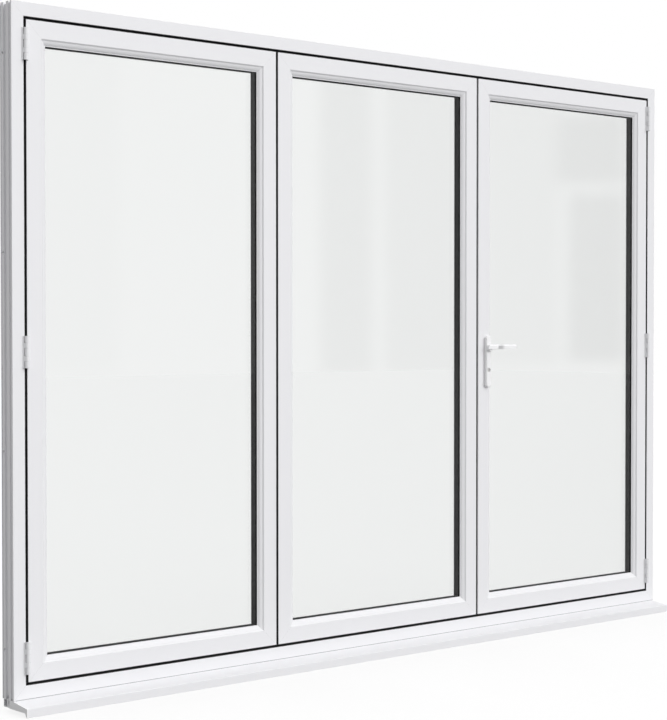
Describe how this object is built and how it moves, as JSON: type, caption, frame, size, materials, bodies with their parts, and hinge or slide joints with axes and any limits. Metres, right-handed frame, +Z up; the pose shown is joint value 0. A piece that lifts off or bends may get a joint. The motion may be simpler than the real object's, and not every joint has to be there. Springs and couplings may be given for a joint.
{
  "type": "three-leaf bi-fold door set",
  "caption": "White framed bi-fold door set with tall double-glazed leaves, a hinged traffic leaf with a lever handle, slim knuckle hinges and a projecting sill.",
  "frame": {"origin": "middle of the flat underside of the sill that the set stands on", "axes": "+X to the right seen from outside, +Y into the building, +Z up"},
  "size_m": [3, 0.174, 2.128],
  "materials": {
    "white_profile": "satin white",
    "white_sill": "satin white",
    "white_cap": "white moulded plastic",
    "white_hardware": "gloss white",
    "glass": "clear float glass",
    "black_seal": "matt black rubber",
    "black_spacer": "matt black",
    "nickel_lock": "satin nickel",
    "grey_nylon": "moulded nylon"
  },
  "bodies": {
    "frame_and_pair": {"fold_hinge_left_leaf_halves": "white_hardware", "fold_hinge_middle_leaf_halves": "white_hardware", "frame_head": "white_profile", "frame_left_jamb": "white_profile", "frame_right_jamb": "white_profile", "frame_seal": "black_seal", "frame_threshold": "white_profile", "left_hinge_frame_halves": "white_hardware", "left_hinge_leaf_halves": "white_hardware", "left_leaf_bottom_rail": "white_profile", "left_leaf_glass": "glass", "left_leaf_glass_spacer": "black_spacer", "left_leaf_glazing_beads": "white_profile", "left_leaf_left_stile": "white_profile", "left_leaf_right_stile": "white_profile", "left_leaf_seals": "black_seal", "left_leaf_top_rail": "white_profile", "meeting_cover_strip": "white_profile", "middle_leaf_bolt_handle": "white_hardware", "middle_leaf_bottom_rail": "white_profile", "middle_leaf_carriers": "grey_nylon", "middle_leaf_glass": "glass", "middle_leaf_glass_spacer": "black_spacer", "middle_leaf_glazing_beads": "white_profile", "middle_leaf_left_stile": "white_profile", "middle_leaf_right_stile": "white_profile", "middle_leaf_seals": "black_seal", "middle_leaf_top_rail": "white_profile", "sill": "white_sill", "sill_end_caps": "white_cap", "traffic_hinge_frame_halves": "white_hardware"},
    "traffic_leaf": {"traffic_leaf_bottom_rail": "white_profile", "traffic_leaf_glass": "glass", "traffic_leaf_glass_spacer": "black_spacer", "traffic_leaf_glazing_beads": "white_profile", "traffic_leaf_left_stile": "white_profile", "traffic_leaf_right_stile": "white_profile", "traffic_leaf_seals": "black_seal", "traffic_leaf_top_rail": "white_profile", "traffic_hinge_leaf_halves": "white_hardware", "lock_faceplate": "nickel_lock", "handle_backplates": "white_hardware", "lock_cylinder": "nickel_lock"},
    "lever_handles": {"outside_lever": "white_hardware", "inside_lever": "white_hardware"}
  },
  "joints": [
    {"name": "traffic_leaf_swing", "type": "hinge", "parent": "frame_and_pair", "child": "traffic_leaf", "pos_m": [1.4534, -0.0395, 1.07], "axis": [0, 0, 1], "range_deg": [0, 100]},
    {"name": "lever_turn", "type": "hinge", "parent": "traffic_leaf", "child": "lever_handles", "pos_m": [0.5214, -0.0065, 1.066], "axis": [0, 1, 0], "range_deg": [-40, 40], "stiffness_Nm_per_rad": 5}
  ]
}
